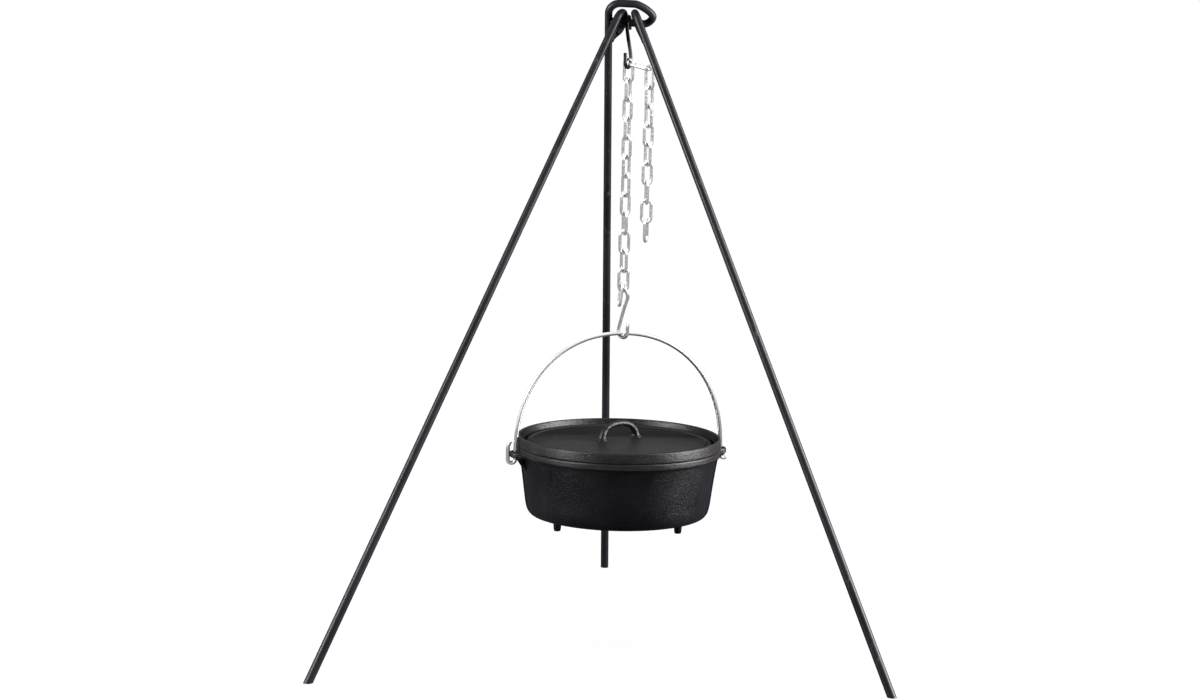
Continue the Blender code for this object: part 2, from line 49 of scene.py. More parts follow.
CLEARANCE = 0.0003  # gap between pieces that touch

# ---------------------------------------------------------------- dimensions
# ROD and every ..._WIRE are radii. A ..._TURN is an angle about +Z from +X.

# tripod: the rear leg ends in a loop whose lowest run is the bar that carries the rest
BAR_HEIGHT = 0.9706
BAR = Vector((0.0, 0.0, BAR_HEIGHT))
ROD = 0.0059
ROD_SPREAD = 1.14  # thickening of the rod at the ground
ROD_GAP = 0.0004  # between rods that are welded together
BURIED = 0.02  # length drawn below the ground, then cut off
FOOT_LEFT = (-0.4530, -0.3010)
FOOT_RIGHT = (0.4108, -0.3040)
FOOT_REAR = (-0.0159, 0.5251)

# the loop lies in the rear leg's plane; pairs are (across, up the leg) from the bar's middle
LOOP_GAP = 0.0332
LOOP_SLOPE = math.radians(2.0)
LOOP_LEFT = -0.0318
LOOP_RIGHT = 0.0070
LOOP_END = (0.0356, 0.0115)
LOOP_LOW = (0.0225, -0.0014)
LOOP_CORNER = 0.0180  # bend radius

# eyes of the front legs round the bar
EYE_RADIUS = 0.0160
EYE_LEFT_AT = -0.0154
EYE_RIGHT_AT = 0.0138
EYE_LEFT_TWIST = math.radians(15.0)
EYE_RIGHT_TWIST = math.radians(1.5)
TAIL_LENGTH = 0.033

# top hook
HOOK_WIRE = 0.0030
HOOK_BOTTOM = 0.9024
HOOK_AT = -0.0013
HOOK_SKEW = math.radians(76.0)  # turn of its arch over the bar
HOOK_BEND = 0.0084
HOOK_TURN = math.radians(60.0)
HOOK_OFF_CHAIN = -0.0014

# chain: turns in degrees, one per link from the top down
LINK_WIRE = 0.0024
LINK_HALF = 0.0072  # radius of a bow's centre line
LINK_LENGTH = 0.0345
LINK_PITCH = LINK_LENGTH - 2 * LINK_WIRE - CLEARANCE
CHAIN_TOP = Vector((0.0007, 0.0, 0.9150))
CHAIN_TURNS = (-25, 65, 140, 245, 320, 412, 492, 574, 650, 740, 842, 915)
TAIL_TURNS = (-40, 50, 125, 212, 300, 388, 460, 540, 614)
LOOSE_TURN = math.radians(1000)
LOOSE_LEAN = math.radians(6.0)
LOOSE_ASIDE = 0.0022
LOOSE_RISE = 0.0039
CLAMPED_DROP = math.radians(12.0)
CLAMPED_TURN = math.radians(-25.0)
CLAMPED_OFF_CHAIN = 0.0021
CLAMPED_HEIGHT = 0.9080

# lower hook
LOWER_WIRE = 0.00275
LOWER_ARCH = 0.0060
LOWER_ARCH_ASIDE = 0.0021
LOWER_ARCH_LEAN = 0.10
LOWER_BEND = 0.0090
LOWER_BOTTOM = 0.4836
LOWER_X = 0.0020
LOWER_TURN = math.radians(-40.0)
LOWER_MIDDLE = Vector((0.0075, -0.0030, 0.5440))  # half way down the shank
LOWER_SLANT = Vector((-0.0120, 0.0080, -0.0330))  # the shank's run there

# bail
OVEN_TURN = math.radians(15.0)
BAIL_WIRE = 0.0032
BAIL_HALF = 0.1660
BAIL_TOP = 0.4903
BAIL_EYE = 0.0059
EAR_HEIGHT = 0.3030

# oven
EAR_HOLE = BAIL_HALF - 0.0002
EAR_HOLE_REACH = 0.0066  # from the slot's middle to the centre of each round end
EAR_HOLE_WIDTH = 0.0037  # radius of the round ends
RIM = 0.1590
RIM_TOP = 0.3120
OVEN_BOTTOM = 0.2030
FLOOR_TOP = OVEN_BOTTOM + 0.0050
FOOT_RING = 0.1080
FOOT_BOTTOM = 0.1860
FOOT_TURNS = (211.0, 331.0, 91.0)
LID_TOP = 0.3290
LID_BASE = RIM_TOP + CLEARANCE
HANDLE_TURN = math.radians(38.0)
HANDLE_HALF = 0.0335
HANDLE_TOP = 0.3482
HANDLE_ROOT = LID_TOP - 0.0075


# ---------------------------------------------------------------- node materials
def scaled(colour, factor):
    return tuple(channel * factor for channel in colour)


class Nodes:
    """A short way to write a node tree round one Principled shader."""

    def __init__(self, name):
        self.material = bpy.data.materials.new(name)
        self.material.use_nodes = True
        self.tree = self.material.node_tree
        self.tree.nodes.clear()
        out = self.add("ShaderNodeOutputMaterial")
        self.shader = self.add("ShaderNodeBsdfPrincipled")
        self.tree.links.new(self.shader.outputs[0], out.inputs[0])
        self.at = self.add("ShaderNodeTexCoord").outputs["Object"]

    def add(self, kind, inputs=(), **settings):
        node = self.tree.nodes.new(kind)
        for key, value in settings.items():
            setattr(node, key, value)
        for key, value in dict(inputs).items():
            self.feed(node.inputs[key], value)
        return node

    def feed(self, socket, value):
        """Links a socket, or sets a value; a three-part colour gets its alpha."""
        if isinstance(value, bpy.types.NodeSocket):
            self.tree.links.new(value, socket)
        elif isinstance(value, tuple) and len(value) == 3 and socket.type == "RGBA":
            socket.default_value = (*value, 1.0)
        else:
            socket.default_value = value

    def noise(self, scale, detail=2.0, rough=0.5, stretch=(1, 1, 1)):
        place = self.add("ShaderNodeMapping", {"Scale": stretch, "Vector": self.at}).outputs[0]
        inputs = {"Vector": place, "Scale": scale, "Detail": detail, "Roughness": rough}
        return self.add("ShaderNodeTexNoise", inputs).outputs["Fac"]

    def cells(self, scale):
        inputs = {"Vector": self.at, "Scale": scale}
        return self.add("ShaderNodeTexVoronoi", inputs).outputs["Distance"]

    def ramp(self, value, span, to=(0.0, 1.0)):
        """Maps the span of a value onto another span, clamped at both ends."""
        inputs = {
            "Value": value,
            "From Min": span[0],
            "From Max": span[1],
            "To Min": to[0],
            "To Max": to[1],
        }
        return self.add("ShaderNodeMapRange", inputs).outputs["Result"]

    def mix(self, factor, first, second):
        inputs = {0: factor, 6: first, 7: second}
        return self.add("ShaderNodeMix", inputs, data_type="RGBA").outputs[2]

    def calc(self, how, first, second):
        return self.add("ShaderNodeMath", {0: first, 1: second}, operation=how).outputs[0]

    def plus(self, value, extra):
        return self.calc("ADD", value, extra)

    def times(self, value, by):
        return self.calc("MULTIPLY", value, by)

    def facing(self):
        """0 where the surface faces the viewer, 1 at a grazing angle."""
        return self.add("ShaderNodeLayerWeight", {"Blend": 0.5}).outputs["Facing"]

    def bump(self, height, distance, strength, normal=None):
        inputs = {"Strength": strength, "Distance": distance, "Height": height}
        if normal:
            inputs["Normal"] = normal
        return self.add("ShaderNodeBump", inputs).outputs["Normal"]

    def soft_edges(self, radius):
        return self.add("ShaderNodeBevel", {"Radius": radius}, samples=4).outputs["Normal"]

    def split(self, vector):
        return self.add("ShaderNodeSeparateXYZ", {0: vector}).outputs

    def point_up(self):
        """1 where the surface faces up."""
        return self.split(self.add("ShaderNodeNewGeometry").outputs["Normal"])["Z"]

    def from_axis(self):
        """Distance from the oven's axis."""
        place = self.split(self.at)
        across = self.add("ShaderNodeCombineXYZ", {0: place[0], 1: place[1]}).outputs[0]
        length = self.add("ShaderNodeVectorMath", {0: across}, operation="LENGTH")
        return length.outputs["Value"]

    def crevice(self, distance):
        """1 in the open, 0 in a tight gap."""
        inputs = {"Distance": distance}
        return self.add("ShaderNodeAmbientOcclusion", inputs, samples=6).outputs["AO"]

    def height(self):
        return self.split(self.at)["Z"]

    def done(self, **inputs):
        for key, value in inputs.items():
            self.feed(self.shader.inputs[key.replace("_", " ")], value)
        return self.material


def black_paint(name, base=(0.0016, 0.0016, 0.0020), rough=0.40):
    """Semi-gloss black paint: a fine orange peel, scuffs, a little dust and painted shade towards
    its edges.
    """
    mat = Nodes(name)
    patches = mat.noise(scale=9.0, detail=3.0, rough=0.6)
    scuffs = mat.noise(scale=60.0, detail=6.0, rough=0.75, stretch=(1, 1, 0.25))
    scuffs = mat.ramp(scuffs, span=(0.60, 0.72))
    dust = mat.ramp(mat.noise(scale=900.0, rough=0.6), span=(0.70, 0.80), to=(0.0, 0.5))
    colour = mat.mix(mat.ramp(patches, span=(0.35, 0.65)), base, scaled(base, factor=1.6))
    colour = mat.mix(mat.times(scuffs, by=0.35), colour, second=(0.022, 0.022, 0.024))
    colour = mat.mix(dust, colour, second=(0.05, 0.05, 0.053))
    roughness = mat.plus(
        mat.ramp(patches, span=(0.3, 0.7), to=(rough - 0.04, rough + 0.08)),
        mat.times(scuffs, by=0.16),
    )
    peel = mat.bump(mat.noise(scale=700.0), distance=0.00006, strength=0.8)
    waves = mat.noise(scale=120.0, detail=3.0)
    peel = mat.bump(waves, distance=0.00020, strength=0.7, normal=peel)
    # painted shade: open_face is 1 where the paint faces the viewer; towards grazing angles the
    # base colour darkens to 0.4 of the base, painting shade along each rod's edges, and the coat
    # and specular fade
    open_face = mat.ramp(mat.facing(), span=(0.45, 0.97), to=(1.0, 0.0))
    return mat.done(
        Base_Color=mat.mix(open_face, scaled(base, factor=0.4), colour),
        Roughness=roughness,
        Normal=peel,
        Coat_Weight=mat.times(open_face, by=0.006),
        Coat_Roughness=0.16,
        Specular_IOR_Level=mat.plus(mat.times(open_face, by=0.026), extra=0.002),
    )


def zinc(name, base, edge, rough, edge_shade_from=0.46, wear=0.35):
    """Bright zinc plate: fine spangle, painted shade in the corners and gaps, and painted shade
    towards grazing angles.
    """
    mat = Nodes(name)
    cloud = mat.noise(scale=45.0, detail=4.0, rough=0.6)
    spangle = mat.cells(scale=650.0)
    worn = mat.ramp(mat.noise(scale=170.0, detail=5.0, rough=0.7), span=(0.58, 0.70))
    colour = mat.mix(mat.ramp(cloud, span=(0.3, 0.7)), base, scaled(base, factor=0.86))
    colour = mat.mix(mat.times(worn, by=wear), colour, second=(0.42, 0.43, 0.45))
    # painted shade: towards grazing angles the colour runs to the edge colour, drawing a dark
    # outline round each wire
    grazing = mat.ramp(mat.facing(), span=(edge_shade_from, 0.98))
    colour = mat.mix(mat.calc("POWER", grazing, second=1.6), colour, edge)
    # painted shade: in tight gaps and where pieces touch, the colour darkens to half the edge
    # colour
    gap = mat.ramp(mat.crevice(distance=0.004), span=(0.15, 0.55))
    colour = mat.mix(gap, scaled(edge, factor=0.5), colour)
    roughness = mat.plus(
        mat.ramp(cloud, span=(0.3, 0.7), to=(rough - 0.05, rough + 0.07)),
        mat.times(worn, by=0.15),
    )
    normal = mat.bump(spangle, distance=0.00003, strength=0.25)
    waves = mat.noise(scale=220.0, detail=3.0, rough=0.6)
    normal = mat.bump(waves, distance=0.00006, strength=0.35, normal=normal)
    return mat.done(Base_Color=colour, Metallic=1.0, Roughness=roughness, Normal=normal)


def cast_iron(name, top_light_amount):
    """Seasoned cast iron: a sand-cast grain, oil patches, a few pits, painted lighter and warmer
    where it faces up, as if lit from above.
    """
    mat = Nodes(name)
    cloud = mat.noise(scale=16.0, detail=5.0, rough=0.6)
    grain = mat.noise(scale=950.0, detail=3.0, rough=0.65)
    sand = mat.noise(scale=330.0, detail=4.0, rough=0.6)
    pits = mat.ramp(mat.cells(scale=240.0), span=(0.05, 0.16))
    colour = mat.mix(
        mat.ramp(cloud, span=(0.35, 0.68)),
        first=(0.0004, 0.0004, 0.0006),
        second=(0.0010, 0.0010, 0.0013),
    )
    speckle = mat.ramp(grain, span=(0.52, 0.72), to=(0.0, 0.65))
    colour = mat.mix(speckle, colour, second=(0.0030, 0.0029, 0.0034))
    speckle = mat.ramp(sand, span=(0.60, 0.72), to=(0.0, 0.45))
    colour = mat.mix(speckle, colour, second=(0.0012, 0.0012, 0.0012))
    # painted light: faces that point up are painted lighter and warmer, as if lit from above
    painted_top_light = mat.ramp(mat.point_up(), span=(0.15, 0.95), to=(0.0, top_light_amount))
    colour = mat.mix(painted_top_light, colour, second=(0.0055, 0.0052, 0.0052))
    # the flange and the rim under it are painted paler and browner than the wall: partly wear,
    # partly a painted highlight for the light the rim catches
    flange = mat.times(
        mat.ramp(mat.from_axis(), span=(0.1558, 0.1570)),
        mat.ramp(mat.height(), span=(0.2955, 0.2985)),
    )
    blotches = mat.noise(scale=40.0, detail=4.0, rough=0.6, stretch=(1, 1, 3))
    rim_sheen_and_wear = mat.times(flange, mat.ramp(blotches, span=(0.30, 0.70), to=(0.45, 1.0)))
    colour = mat.mix(rim_sheen_and_wear, colour, second=(0.0036, 0.0032, 0.0031))
    roughness = mat.plus(
        mat.ramp(cloud, span=(0.3, 0.7), to=(0.28, 0.37)),
        mat.ramp(grain, span=(0.4, 0.7), to=(-0.04, 0.06)),
    )
    normal = mat.soft_edges(radius=0.0016)
    normal = mat.bump(grain, distance=0.00022, strength=0.85, normal=normal)
    normal = mat.bump(sand, distance=0.00095, strength=0.85, normal=normal)
    normal = mat.bump(pits, distance=0.00018, strength=0.35, normal=normal)
    normal = mat.bump(cloud, distance=0.0012, strength=0.25, normal=normal)
    specular = mat.plus(
        mat.ramp(mat.facing(), span=(0.42, 0.84), to=(0.038, 0.0)),
        mat.times(rim_sheen_and_wear, by=0.0035),
    )
    return mat.done(
        Base_Color=colour,
        Metallic=0.0,
        Roughness=roughness,
        Normal=normal,
        Specular_IOR_Level=specular,
    )


def floor_paper():
    """Pale paper: near white where the camera sees it, grey in bounced light."""
    mat = Nodes("floor_paper")
    soft = mat.noise(scale=1.2)
    to_camera = mat.add("ShaderNodeLightPath").outputs["Is Camera Ray"]
    paper = (0.80, 0.80, 0.80)
    tint = mat.mix(mat.ramp(soft, span=(0.3, 0.7)), paper, scaled(paper, factor=0.985))
    return mat.done(
        Base_Color=mat.mix(to_camera, tint, second=(0.22, 0.22, 0.22)),
        Roughness=0.9,
        Specular_IOR_Level=0.0,
        Emission_Color=(1.0, 1.0, 1.0),
        Emission_Strength=mat.times(to_camera, by=0.93),
    )


LEG_PAINT = black_paint("leg_paint")
WELD_PAINT = black_paint("weld_paint", base=(0.003, 0.003, 0.0035), rough=0.55)
HOOK_PAINT = black_paint("hook_paint", base=(0.0045, 0.0045, 0.005), rough=0.36)
CHAIN_ZINC = zinc(
    "chain_zinc",
    base=(0.99, 0.99, 0.995),
    edge=(0.22, 0.225, 0.235),
    rough=0.22,
    edge_shade_from=0.80,
    wear=0.12,
)
HOOK_ZINC = zinc("hook_zinc", base=(0.82, 0.83, 0.84), edge=(0.040, 0.042, 0.045), rough=0.18)
BAIL_ZINC = zinc("bail_zinc", base=(0.90, 0.91, 0.92), edge=(0.035, 0.037, 0.040), rough=0.16)
BODY_IRON = cast_iron("body_iron", top_light_amount=0.3)
LID_IRON = cast_iron("lid_iron", top_light_amount=0.45)


# ---------------------------------------------------------------- paths
def flat(angle):
    """The level direction at an angle from +X."""
    return Vector((math.cos(angle), math.sin(angle), 0.0))


def straight(start, end, count):
    """Even points from start up to, but without, end."""
    return [start + (end - start) * i / count for i in range(count)]


def arc(centre, along, up, radius, first, last, count):
    """Points on an arc in the plane of along and up; angles in degrees from along."""
    points = []
    for i in range(count + 1):
        angle = math.radians(first + (last - first) * i / count)
        points.append(centre + radius * (math.cos(angle) * along + math.sin(angle) * up))
    return points


def sweep(start, leave, end, arrive, count):
    """Points between the ends of a Hermite curve; leave and arrive are its tangents."""
    points = []
    for i in range(1, count):
        part = i / count
        points.append(
            (2 * part**3 - 3 * part**2 + 1) * start
            + (part**3 - 2 * part**2 + part) * leave
            + (3 * part**2 - 2 * part**3) * end
            + (part**3 - part**2) * arrive
        )
    return points


def thinned(points, least):
    """Leaves out points nearer than least to the one before, but keeps both ends."""
    kept = [points[0]]
    for point in points[1:-1]:
        if (point - kept[-1]).length >= least:
            kept.append(point)
    if (points[-1] - kept[-1]).length < least:
        kept.pop()
    return kept + [points[-1]]


def rounded(corners, steps=5):
    """An outline of (across, up, radius) corners, each bent to about its radius."""
    outline = [corners[0][:2]]
    for before, corner, after in zip(corners, corners[1:], corners[2:]):
        point = Vector((*corner[:2], 0.0))
        to_before = Vector((*before[:2], 0.0)) - point
        to_after = Vector((*after[:2], 0.0)) - point
        reach = min(corner[2], to_before.length * 0.45, to_after.length * 0.45)
        start = point + to_before.normalized() * reach
        end = point + to_after.normalized() * reach
        for k in range(steps + 1):
            part = k / steps
            bent = (1 - part) ** 2 * start + 2 * part * (1 - part) * point + part**2 * end
            outline.append((bent.x, bent.y))
    return outline + [corners[-1][:2]]


# ---------------------------------------------------------------- solids
def columns(first, second, third):
    """The matrix that turns X, Y and Z to the three directions."""
    return Matrix((first, second, third)).transposed()


def tube(
    points, radius, sides, closed=False, widths=None, chamfer=0.0, ripple=0.0, seed=0.0
):
    """A round wire as a mesh, its section carried along the path without twist."""
    count = len(points)
    ways = []
    for i in range(count):
        before = points[i - 1 if i or closed else 0]
        after = points[(i + 1) % count if i < count - 1 or closed else -1]
        ways.append((after - before).normalized())
    side = ways[0].orthogonal().normalized()
    frames = []
    for way in ways:
        side = (side - side.dot(way) * way).normalized()
        frames.append((side.copy(), way.cross(side)))
    # a closed wire spreads the mismatch between its last and first section over its length
    slip = 0.0
    if closed:
        last = (frames[-1][0] - frames[-1][0].dot(ways[0]) * ways[0]).normalized()
        slip = math.atan2(last.dot(frames[0][1]), last.dot(frames[0][0]))
    work = bmesh.new()
    rings = []

    def ring(centre, frame, scale, turn):
        verts = []
        for k in range(sides):
            angle = 2 * math.pi * k / sides - turn
            way = math.cos(angle) * frame[0] + math.sin(angle) * frame[1]
            reach = radius * scale
            if ripple:
                spot = (centre + way * radius) * 260 + Vector((seed, 0, 0))
                reach *= 1 + ripple * noise.noise(spot)
            verts.append(work.verts.new(centre + reach * way))
        return verts

    for i, centre in enumerate(points):
        turn = slip * i / count
        scale = widths[i] if widths else 1.0
        if chamfer and i in (0, count - 1):
            inward = ways[i] if i == 0 else -ways[i]
            cut = chamfer / radius
            # inset along the wire and trim of the radius, as shares of the chamfer
            edge = [
                ring(centre + inward * chamfer * inset, frames[i], scale * (1 - cut * trim), turn)
                for inset, trim in ((0.0, 1.0), (0.35, 0.30), (1.0, 0.0))
            ]
            rings += edge if i == 0 else edge[::-1]
        else:
            rings.append(ring(centre, frames[i], scale, turn))
    pairs = list(zip(rings, rings[1:])) + ([(rings[-1], rings[0])] if closed else [])
    for low, high in pairs:
        for k in range(sides):
            after = (k + 1) % sides
            work.faces.new((low[k], low[after], high[after], high[k]))
    if not closed:
        work.faces.new(rings[0][::-1])
        work.faces.new(rings[-1])
    return work


def lathe(profile, steps):
    """A turned solid from a profile that runs from the axis round to the axis."""
    work = bmesh.new()
    rings = []
    for radius, z in profile:
        if radius < 1e-7:
            rings.append([work.verts.new((0, 0, z))])
            continue
        angles = [2 * math.pi * k / steps for k in range(steps)]
        rings.append(
            [work.verts.new((radius * math.cos(a), radius * math.sin(a), z)) for a in angles]
        )
    for low, high in zip(rings, rings[1:]):
        for k in range(steps):
            after = (k + 1) % steps
            face = []
            for ring, index in ((low, k), (low, after), (high, after), (high, k)):
                vert = ring[index % len(ring)]
                if vert not in face:
                    face.append(vert)
            if len(face) > 2:
                work.faces.new(face)
    bmesh.ops.recalc_face_normals(work, faces=work.faces)
    return work


def blob(centre, radii, roughness, seed, turn=Matrix.Identity(3), segments=(24, 16)):
    """A slightly lumpy ellipsoid."""
    work = bmesh.new()
    bmesh.ops.create_uvsphere(
        work, u_segments=segments[0], v_segments=segments[1], radius=1.0
    )
    for vert in work.verts:
        bulge = 1 + roughness * noise.noise(vert.co * 2.2 + Vector((seed, seed * 0.7, 0)))
        stretched = Vector([place * radius for place, radius in zip(vert.co, radii)])
        vert.co = turn @ (stretched * bulge)
        vert.co += centre
    return work


def bead(start, end, radius, count, seed):
    """A weld bead: overlapping ripples from start to end."""
    works = []
    way = (end - start).normalized()
    side = way.orthogonal().normalized()
    turn = columns(side, way.cross(side), way)
    length = (end - start).length / count * 0.95 + 0.0012
    for i in range(count):
        part = i / (count - 1)
        arch = 0.16 * math.sin(math.pi * min(1, part * 1.1))
        swell = radius * (0.86 + arch + 0.07 * noise.noise(Vector((seed, i * 1.7, 0))))
        wander = side * 0.0005 * noise.noise(Vector((i * 0.9, seed, 3.0)))
        centre = start + (end - start) * part + wander
        works.append(blob(centre, (swell, swell, length), 0.06, seed + i, turn))
    return works


def cut_ground(work):
    """Cuts off what is below the ground and closes the cut."""
    cut = bmesh.ops.bisect_plane(
        work,
        geom=list(work.verts) + list(work.edges) + list(work.faces),
        dist=1e-7,
        plane_co=(0, 0, 0),
        plane_no=(0, 0, 1),
        clear_inner=True,
    )
    edges = [item for item in cut["geom_cut"] if isinstance(item, bmesh.types.BMEdge)]
    bmesh.ops.contextual_create(work, geom=edges)
    bmesh.ops.recalc_face_normals(work, faces=work.faces)
    return work


def outline_solid(loops, half_thick, bevel, matrix):
    """A flat outline with holes, given thickness and rounded edges."""
    curve = bpy.data.curves.new("outline", "CURVE")
    curve.dimensions = "2D"
    curve.fill_mode = "BOTH"
    curve.extrude = half_thick - bevel
    curve.bevel_depth = bevel
    curve.bevel_resolution = 3
    curve.offset = -bevel
    for loop in loops:
        spline = curve.splines.new("POLY")
        spline.points.add(len(loop) - 1)
        for point, (x, y) in zip(spline.points, loop):
            point.co = (x, y, 0.0, 1.0)
        spline.use_cyclic_u = True
    obj = bpy.data.objects.new("outline", curve)
    bpy.context.scene.collection.objects.link(obj)
    bpy.context.view_layer.update()
    graph = bpy.context.evaluated_depsgraph_get()
    mesh = bpy.data.meshes.new_from_object(obj.evaluated_get(graph))
    work = bmesh.new()
    work.from_mesh(mesh)
    bmesh.ops.remove_doubles(work, verts=work.verts, dist=0.00001)
    work.transform(matrix)
    bmesh.ops.recalc_face_normals(work, faces=work.faces)
    bpy.data.objects.remove(obj)
    bpy.data.meshes.remove(mesh)
    bpy.data.curves.remove(curve)
    return work


# the lights tell the two groups apart
DARK = bpy.data.collections.new("dark_pieces")
BRIGHT = bpy.data.collections.new("bright_pieces")


def piece(name, body, works, materials, slot, replaced=None, angle=40):
    """One smooth object that rides on its body and replaces that node, or another one.

    The first bmesh takes the first material and the others take the last.
    """
    mesh = bpy.data.meshes.new(name)
    whole = bmesh.new()
    for index, work in enumerate(works):
        part = bpy.data.meshes.new("part")
        for face in work.faces:
            face.material_index = min(index, len(materials) - 1)
        work.to_mesh(part)
        work.free()
        whole.from_mesh(part)
        bpy.data.meshes.remove(part)
    whole.to_mesh(mesh)
    whole.free()
    for material in materials:
        mesh.materials.append(material)
    mesh.shade_smooth()
    mesh.set_sharp_from_angle(angle=math.radians(angle))
    obj = bpy.data.objects.new(name, mesh)
    bpy.context.scene.collection.objects.link(obj)
    obj.location = -MIDDLE
    (BRIGHT if "zinc" in slot else DARK).objects.link(obj)
    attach(obj, body)
    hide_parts(replaced or body)


# ---------------------------------------------------------------- tripod
def taper(points):
    """Widths that thicken a leg evenly from just below the bar to the ground."""
    top = BAR_HEIGHT - 0.03
    return [1 + (ROD_SPREAD - 1) * min(1.0, max(0.0, 1 - point.z / top)) for point in points]


def rear_leg():
    """The rear leg, its loop bent clockwise as seen from the front, and the weld that shuts it."""
    lean = math.atan2(FOOT_REAR[1], BAR_HEIGHT)
    up = Vector((0.0, -math.sin(lean), math.cos(lean)))

    def at(across, rise):
        return BAR + across * X + rise * up

    leg_length = BAR_HEIGHT / math.cos(lean)
    slope = (LOOP_LEFT - FOOT_REAR[0]) / leg_length
    side = (at(LOOP_LEFT + slope, 1.0) - at(LOOP_LEFT, 0.0)).normalized()
    foot = at(FOOT_REAR[0], -leg_length)

    # the top left corner, where the leg meets the loop's upper run
    top_end = at(LOOP_RIGHT, LOOP_GAP)
    top_way = (-math.cos(LOOP_SLOPE) * X + math.sin(LOOP_SLOPE) * up).normalized()
    reach = (top_end - at(LOOP_LEFT, 0.0)).dot(X)
    corner_rise = LOOP_GAP + reach * math.tan(LOOP_SLOPE)
    corner = at(LOOP_LEFT + slope * corner_rise, corner_rise)
    turn = side.angle(-top_way)
    setback = LOOP_CORNER * math.tan(turn / 2)
    start = corner - side * setback
    end = corner - top_way * setback
    pull = 3 * 4 / 3 * math.tan(turn / 4) * LOOP_CORNER

    points = straight(foot - side * BURIED, start, 24) + [start]
    points += sweep(start, side * pull, end, -top_way * pull, 20)
    points += [end, top_end]
    tip = at(*LOOP_END)
    points += sweep(top_end, -top_way * 0.023, tip, -up * 0.022, 26)
    points.append(tip)
    low = at(*LOOP_LOW)
    points += sweep(tip, -up * 0.017, low, -X * 0.017, 22)
    points.append(low)
    points += sweep(low, -X * 0.020, BAR, -X * 0.020, 10)
    stop = LOOP_LEFT + ROD + ROD_GAP
    points += [BAR, at(stop, 0.0)]
    works = [cut_ground(tube(points, ROD, 32, ripple=0.004, widths=taper(points)))]

    # a fillet weld runs round the end of the bar where it meets the leg
    for i in range(16):
        angle = 2 * math.pi * i / 16
        way = math.cos(angle) * up + math.sin(angle) * X.cross(up)
        spot = at(stop - 0.0012, 0.0) + 0.0056 * way
        works.append(blob(spot, (0.0024, 0.0021, 0.0021), 0.10, 3.1 + i, segments=(14, 10)))
    works.append(blob(at(stop - 0.0010, 0.0), (0.0040, 0.0066, 0.0066), 0.05, 1.0))
    paints = [LEG_PAINT, WELD_PAINT]
    piece("rear_leg_rod", "tripod", works, paints, "leg_paint", "rear_leg_with_loop")


def front_leg(name, foot, eye_at, twist, seed):
    """A front leg bent to an eye over the bar, its tail welded back to the leg."""
    centre = BAR + eye_at * X
    ground = Vector((*foot, 0.0))
    rise = (centre - ground).normalized()
    # the leg's direction and the eye's tangent depend on each other, so they are iterated
    for _ in range(12):
        normal = (X - X.dot(rise) * rise).normalized()
        back = rise.cross(normal).normalized()
        back = math.cos(twist) * back + math.sin(twist) * normal
        tangent = centre - EYE_RADIUS * back
        rise = (tangent - ground).normalized()
    points = straight(ground - rise * BURIED, tangent - rise * 0.004, 24)
    eye = arc(centre, back, rise, EYE_RADIUS, 180, -18, 48)
    points += eye
    end = centre + back * (-EYE_RADIUS + 2 * ROD + ROD_GAP) - rise * TAIL_LENGTH
    tail = end + rise * 0.004
    leave = (eye[-1] - eye[-2]).normalized()
    points += sweep(eye[-1], leave * 0.026, tail, -rise * 0.022, 20)
    points += [tail, end]
    widths = taper(points)
    rod = tube(points, ROD, 32, chamfer=0.0007, ripple=0.004, seed=seed, widths=widths)
    works = [cut_ground(rod)]

    # a weld bead in the groove on either side of leg and tail, and a filling between them
    side = back.cross(rise).normalized()
    middle = centre + back * (-EYE_RADIUS + ROD + ROD_GAP / 2) - rise * (TAIL_LENGTH - 0.007)
    for way in (-1, 1):
        groove = middle + side * way * 0.0036
        low, high = groove - rise * 0.0090, groove + rise * 0.0100
        works += bead(low, high, radius=0.0023, count=9, seed=seed + way)
    filling = (0.0044, 0.0044, 0.0112)
    works.append(blob(middle, filling, 0.05, seed, columns(back, side, rise)))
    piece(name + "_rod", name, works, [LEG_PAINT, WELD_PAINT], "leg_paint")


rear_leg()
front_leg("left_leg", FOOT_LEFT, EYE_LEFT_AT, EYE_LEFT_TWIST, seed=11.0)
front_leg("right_leg", FOOT_RIGHT, EYE_RIGHT_AT, EYE_RIGHT_TWIST, seed=23.0)


# ---------------------------------------------------------------- top hook
def top_hook():
    """An arch over the bar, a shank in front and a bend that carries the chain."""
    across = flat(HOOK_SKEW)
    over = (ROD + HOOK_WIRE + CLEARANCE) / math.sin(HOOK_SKEW)
    arch = BAR + HOOK_AT * X
    facing = flat(HOOK_TURN)
    low = Vector((CHAIN_TOP.x, 0.0, HOOK_BOTTOM + HOOK_BEND))
    low += HOOK_OFF_CHAIN * flat(math.radians(CHAIN_TURNS[0]))
    points = [arch + over * across - 0.011 * Z]
    points += arc(arch, across, Z, over, -12, 180, 36)
    shank = low + HOOK_BEND * facing
    points += sweep(points[-1], -Z * 0.060, shank + 0.004 * Z, -Z * 0.045, 36)
    points += arc(low, facing, Z, HOOK_BEND, 8, -180, 36)
    tip = low - HOOK_BEND * facing
    points += [tip + 0.0040 * Z, tip + 0.0075 * Z, tip + 0.0140 * Z - 0.0006 * facing]
    wire = tube(points, 0.94 * HOOK_WIRE, 22, chamfer=0.0006, ripple=0.006)
    piece("top_hook_wire", "top_hook", [wire], [HOOK_PAINT], "hook_paint")


top_hook()

# ---------------------------------------------------------------- chain
# the lowest link of the main chain: its broad direction towards +X, and its lower bow's centre
LAST_FACING = -flat(math.radians(CHAIN_TURNS[-1]))
LAST_TOP = CHAIN_TOP - (len(CHAIN_TURNS) - 1) * LINK_PITCH * Z
BOW_MIDDLE = LAST_TOP - LINK_LENGTH * Z + LINK_HALF * Z


